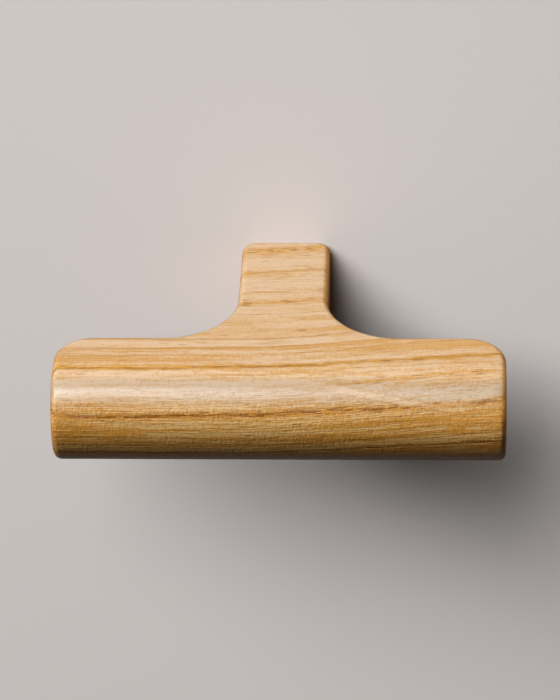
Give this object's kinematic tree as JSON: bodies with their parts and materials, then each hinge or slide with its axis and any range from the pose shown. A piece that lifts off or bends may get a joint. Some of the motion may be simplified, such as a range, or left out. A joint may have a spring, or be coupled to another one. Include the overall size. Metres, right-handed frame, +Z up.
{
  "type": "t-shaped cabinet pull",
  "caption": "T-shaped oak pull for a cabinet door or drawer: flat neck, bar with a half-round front, eased edges, fixed from behind by a machine screw in a brass insert.",
  "frame": {"origin": "centre of the neck's mounting face, on the axis of the fixing screw", "axes": "+X along the grip bar, +Y out of the mounting face into the door or drawer front, +Z up"},
  "size_m": [0.064, 0.0624, 0.015],
  "materials": {
    "oak": "satin clear lacquer over straight-grained light oak",
    "brass": "machined, unpolished",
    "zinc_steel": "bright zinc plating"
  },
  "bodies": {
    "root": {"pull_body": "oak", "threaded_insert": "brass", "mounting_screw": "zinc_steel", "screw_washer": "zinc_steel"}
  },
  "joints": []
}
